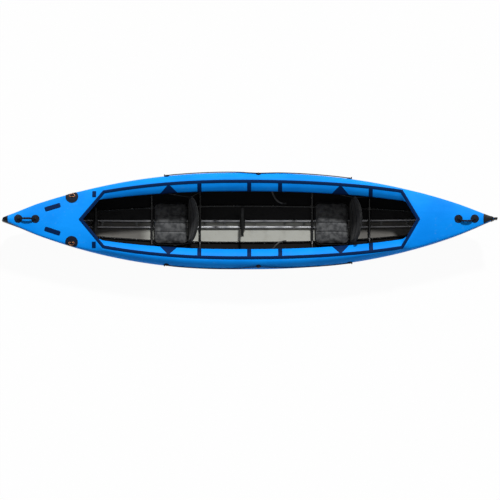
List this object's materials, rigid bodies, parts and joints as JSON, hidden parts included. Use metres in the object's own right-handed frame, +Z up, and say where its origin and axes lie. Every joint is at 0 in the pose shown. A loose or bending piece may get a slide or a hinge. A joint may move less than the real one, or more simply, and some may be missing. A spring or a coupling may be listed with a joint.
{
  "type": "folding kayak",
  "caption": "Long two-seat open-cockpit folding kayak: blue deck and black hull skins over an alloy tube frame, with padded seats, sliding footrests, grab lines and carrying handles.",
  "frame": {"origin": "on the ground under the middle of the boat's length and width", "axes": "+X runs along the boat to the stern, +Y to starboard, +Z up"},
  "size_m": [4.3, 0.8508, 0.4365],
  "materials": {
    "hull_cloth": "black coated fabric, satin",
    "deck_cloth": "bright blue coated polyester fabric, satin",
    "trim_cloth": "dark navy coated strip, satin",
    "patch_cloth": "black welded patch, satin",
    "handle_tube": "black sleeve, satin",
    "bronze": "coppery wire, worn",
    "rope": "dark blue cord",
    "black_plastic": "black moulded plastic",
    "hose_rubber": "black hose",
    "tube_alloy": "bare drawn alloy tube",
    "button_steel": "bare steel",
    "sponson_cloth": "coated air tube fabric",
    "seat_cloth": "black woven seat cloth",
    "webbing": "black webbing"
  },
  "bodies": {
    "boat": {"hull_skin": "hull_cloth", "deck_skin": "deck_cloth", "cockpit_strip": "trim_cloth", "gear_patch_port": "trim_cloth", "gear_patch_starboard": "trim_cloth", "tow_patch_port": "patch_cloth", "tow_patch_starboard": "patch_cloth", "grab_line_port": "rope", "grab_line_starboard": "rope", "rudder_bracket": "black_plastic", "bow_stem": "black_plastic", "stern_stem": "black_plastic", "inflation_hose_port": "hose_rubber", "inflation_hose_starboard": "hose_rubber", "chine_stringer_bow_port": "tube_alloy", "chine_stringer_bow_starboard": "tube_alloy", "chine_stringer_stern_port": "tube_alloy", "chine_stringer_stern_starboard": "tube_alloy", "side_stringer_bow_port": "tube_alloy", "side_stringer_bow_starboard": "tube_alloy", "side_stringer_stern_port": "tube_alloy", "side_stringer_stern_starboard": "tube_alloy", "gunwale_bow_port": "tube_alloy", "gunwale_bow_starboard": "tube_alloy", "gunwale_stern_port": "tube_alloy", "gunwale_stern_starboard": "tube_alloy", "bow_deck_bar": "tube_alloy", "stern_deck_bar": "tube_alloy", "keelson_front": "tube_alloy", "keelson_rear": "tube_alloy", "keelson_middle": "tube_alloy", "cross_frame_1": "tube_alloy", "cross_frame_2": "tube_alloy", "cross_frame_3": "tube_alloy", "cross_frame_4": "tube_alloy", "cross_frame_5": "tube_alloy", "cross_frame_6": "tube_alloy", "sponson_port": "sponson_cloth", "sponson_starboard": "sponson_cloth", "front_seat_cushion": "seat_cloth", "rear_seat_cushion": "seat_cloth", "front_seat_strap_port": "webbing", "front_seat_strap_starboard": "webbing", "rear_seat_strap_port": "webbing", "rear_seat_strap_starboard": "webbing"},
    "bow_handle": {"bow_handle": "handle_tube"},
    "stern_handle": {"stern_handle": "handle_tube"},
    "tow_ring_port": {"tow_ring_port": "bronze"},
    "tow_ring_starboard": {"tow_ring_starboard": "bronze"},
    "front_backrest": {"front_seat_backrest": "seat_cloth"},
    "rear_backrest": {"rear_seat_backrest": "seat_cloth"},
    "hose_cap_port": {"hose_cap_port": "black_plastic"},
    "hose_cap_starboard": {"hose_cap_starboard": "black_plastic"},
    "front_footrest": {"front_footrest": "black_plastic"},
    "rear_footrest": {"rear_footrest": "black_plastic"},
    "lock_button_front_port": {"lock_button_front_port": "button_steel"},
    "lock_button_front_starboard": {"lock_button_front_starboard": "button_steel"},
    "lock_button_rear_port": {"lock_button_rear_port": "button_steel"},
    "lock_button_rear_starboard": {"lock_button_rear_starboard": "button_steel"}
  },
  "joints": [
    {"name": "bow_handle_swing", "type": "hinge", "parent": "boat", "child": "bow_handle", "pos_m": [-1.9235, 0, 0.4056], "axis": [0.9914, 0, -0.131], "range_deg": [-80, 80]},
    {"name": "stern_handle_swing", "type": "hinge", "parent": "boat", "child": "stern_handle", "pos_m": [1.8847, 0, 0.40729], "axis": [0.9945, 0, 0.1051], "range_deg": [-142, 18]},
    {"name": "tow_ring_port_turn", "type": "hinge", "parent": "boat", "child": "tow_ring_port", "pos_m": [-1.53882, -0.20075, 0.3524], "axis": [-0.9994, -0.0047, 0.033], "range_deg": [0, 150]},
    {"name": "tow_ring_starboard_turn", "type": "hinge", "parent": "boat", "child": "tow_ring_starboard", "pos_m": [-1.53882, 0.20075, 0.3524], "axis": [0.9994, -0.0047, -0.033], "range_deg": [0, 150]},
    {"name": "front_backrest_fold", "type": "hinge", "parent": "boat", "child": "front_backrest", "pos_m": [-0.5197, 0, 0.0753], "axis": [0, -1, 0], "range_deg": [-10, 42], "deforming": ["front_seat_strap_port", "front_seat_strap_starboard"]},
    {"name": "rear_backrest_fold", "type": "hinge", "parent": "boat", "child": "rear_backrest", "pos_m": [0.8973, 0, 0.0847], "axis": [0, -1, 0], "range_deg": [-10, 42], "deforming": ["rear_seat_strap_port", "rear_seat_strap_starboard"]},
    {"name": "hose_cap_port_screw", "type": "hinge", "parent": "boat", "child": "hose_cap_port", "pos_m": [0.31, -0.16972, 0.14034], "axis": [1, 0, 0], "range_deg": [0, 540]},
    {"name": "hose_cap_starboard_screw", "type": "hinge", "parent": "boat", "child": "hose_cap_starboard", "pos_m": [0.31, 0.16972, 0.14034], "axis": [1, 0, 0], "range_deg": [0, 540]},
    {"name": "front_footrest_slide", "type": "slide", "parent": "boat", "child": "front_footrest", "axis": [0.9969, 0, -0.0787], "range_m": [-0.06, 0.06]},
    {"name": "rear_footrest_slide", "type": "slide", "parent": "boat", "child": "rear_footrest", "axis": [1, 0, 0], "range_m": [-0.1, 0.1]},
    {"name": "lock_button_front_port_press", "type": "slide", "parent": "boat", "child": "lock_button_front_port", "axis": [0, 0, 1], "range_m": [-0.003, 0], "stiffness_N_per_m": 200},
    {"name": "lock_button_front_starboard_press", "type": "slide", "parent": "boat", "child": "lock_button_front_starboard", "axis": [0, 0, 1], "range_m": [-0.003, 0], "stiffness_N_per_m": 200},
    {"name": "lock_button_rear_port_press", "type": "slide", "parent": "boat", "child": "lock_button_rear_port", "axis": [0, 0, 1], "range_m": [-0.003, 0], "stiffness_N_per_m": 200},
    {"name": "lock_button_rear_starboard_press", "type": "slide", "parent": "boat", "child": "lock_button_rear_starboard", "axis": [0, 0, 1], "range_m": [-0.003, 0], "stiffness_N_per_m": 200}
  ]
}
